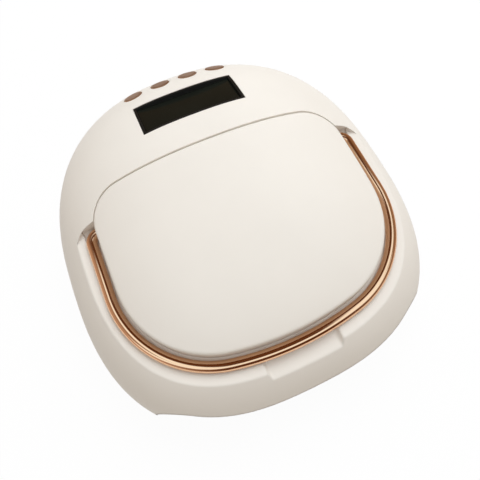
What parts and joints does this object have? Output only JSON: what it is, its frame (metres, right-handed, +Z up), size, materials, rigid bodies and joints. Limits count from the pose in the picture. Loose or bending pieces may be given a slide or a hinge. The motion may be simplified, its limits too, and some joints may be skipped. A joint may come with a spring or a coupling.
{
  "type": "led nail lamp",
  "caption": "Domed nail lamp with a folding carry handle on a ledge, timer buttons, a display and a hand opening.",
  "frame": {"origin": "on the table, under the middle of the body's footprint", "axes": "+Z up; -Y out of the hand opening; +X to the right seen from the front; YZ is the mirror plane"},
  "size_m": [0.221, 0.2316, 0.0912],
  "materials": {
    "ivory_shell": "satin moulded plastic, warm ivory",
    "ivory_cover": "satin moulded plastic, warm ivory",
    "ivory_base": "fine matt moulded plastic",
    "rose_gold_plate": "polished rose gold plating",
    "rose_gold_satin": "satin rose gold metallised plastic",
    "acetal": "natural acetal",
    "zinc_steel": "zinc plated",
    "black_plastic": "fine matt black",
    "smoked_window": "polished dark smoked plastic",
    "circuit_board": "green solder mask",
    "white_reflector": "glossy white",
    "aluminium_board": "white solder mask on aluminium",
    "led_lens": "clear silicone lens over yellow phosphor",
    "cell_sleeve": "blue shrink sleeve on steel cans",
    "foot_rubber": "soft rubber",
    "nickel_magnet": "nickel plated magnet"
  },
  "bodies": {
    "housing": {"housing_shell": "ivory_shell", "top_cover": "ivory_cover", "cover_screws": "zinc_steel", "right_handle_bush": "acetal", "left_handle_bush": "acetal", "display_bezel": "black_plastic", "display_window": "smoked_window", "display_module": "black_plastic", "key_board": "circuit_board", "tact_switches": "black_plastic", "board_screws": "zinc_steel", "reflector_liner": "white_reflector", "led_board_top": "aluminium_board", "led_board_right": "aluminium_board", "led_board_left": "aluminium_board", "led_board_back": "aluminium_board", "leds_top": "led_lens", "leds_right": "led_lens", "leds_left": "led_lens", "leds_back": "led_lens", "motion_sensors": "smoked_window", "battery_holder": "black_plastic", "battery_cells": "cell_sleeve", "power_board": "circuit_board", "dc_inlet": "black_plastic", "base_frame": "ivory_base", "base_screws": "zinc_steel", "rubber_feet": "foot_rubber", "frame_magnets": "nickel_magnet"},
    "handle": {"carry_handle": "rose_gold_plate", "handle_clips": "zinc_steel"},
    "tray": {"base_tray": "ivory_base", "tray_magnets": "nickel_magnet"},
    "button_1": {"timer_button_1": "rose_gold_satin"},
    "button_2": {"timer_button_2": "rose_gold_satin"},
    "button_3": {"timer_button_3": "rose_gold_satin"},
    "button_4": {"timer_button_4": "rose_gold_satin"}
  },
  "joints": [
    {"name": "handle_fold", "type": "hinge", "parent": "housing", "child": "handle", "pos_m": [0, 0.00624, 0.06717], "axis": [-1, 0, 0], "range_deg": [0, 90]},
    {"name": "button_1_press", "type": "slide", "parent": "housing", "child": "button_1", "axis": [0, -0.507, -0.8619], "range_m": [0, 0.0008], "stiffness_N_per_m": 1500},
    {"name": "button_2_press", "type": "slide", "parent": "housing", "child": "button_2", "axis": [0, -0.507, -0.8619], "range_m": [0, 0.0008], "stiffness_N_per_m": 1500},
    {"name": "button_3_press", "type": "slide", "parent": "housing", "child": "button_3", "axis": [0, -0.507, -0.8619], "range_m": [0, 0.0008], "stiffness_N_per_m": 1500},
    {"name": "button_4_press", "type": "slide", "parent": "housing", "child": "button_4", "axis": [0, -0.507, -0.8619], "range_m": [0, 0.0008], "stiffness_N_per_m": 1500},
    {"name": "tray_release", "type": "slide", "parent": "housing", "child": "tray", "axis": [0, 0, -1], "range_m": [0, 0.03]}
  ]
}
